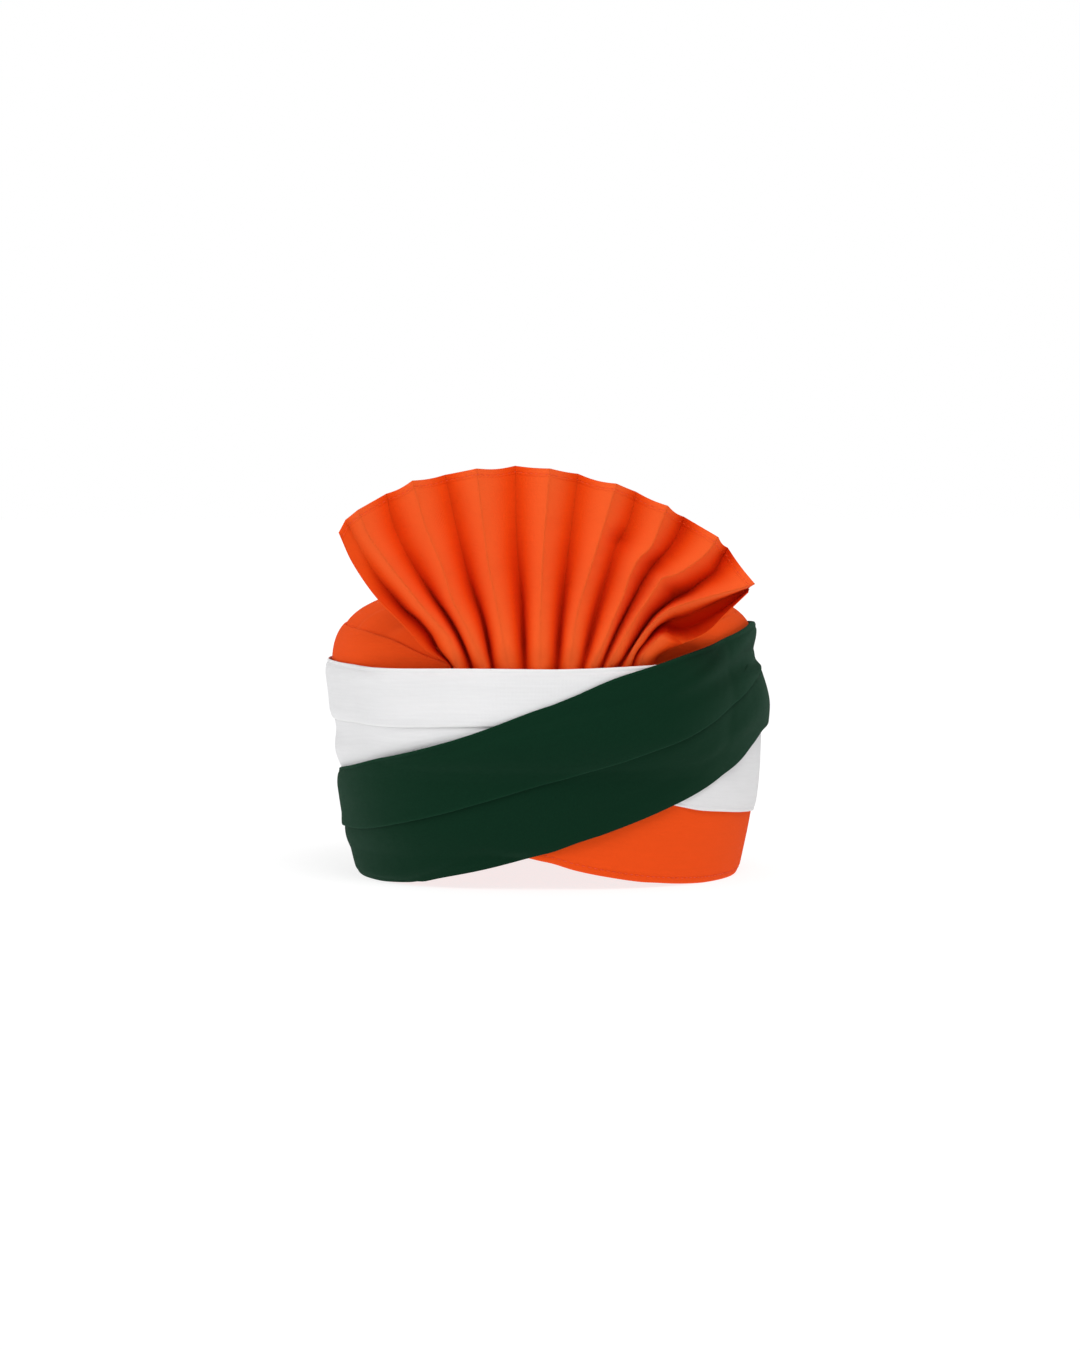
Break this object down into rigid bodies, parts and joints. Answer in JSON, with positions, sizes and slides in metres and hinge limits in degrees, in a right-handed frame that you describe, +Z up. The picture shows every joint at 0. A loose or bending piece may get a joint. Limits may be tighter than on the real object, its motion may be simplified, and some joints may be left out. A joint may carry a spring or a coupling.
{
  "type": "tied turban pagri",
  "caption": "Ready-tied turban with an open head hollow, saffron crown, white and green wrapped turns and a pleated standing fan at the front.",
  "frame": {"origin": "on the surface that the rim stands on, under the middle of the whole outline", "axes": "+Z up, the front with the fan towards -Y, +X to the right when looked at from the front"},
  "size_m": [0.2124, 0.2518, 0.1901],
  "materials": {
    "saffron": "plain woven cotton, starched",
    "white": "plain woven cotton",
    "green": "plain woven cotton with a faint sheen"
  },
  "bodies": {
    "root": {"cap": "saffron", "base_turn": "saffron", "crown_turn": "saffron", "white_turn_lower": "white", "white_turn_upper": "white", "green_turn_lower": "green", "green_turn_upper": "green", "fan": "saffron"}
  },
  "joints": []
}
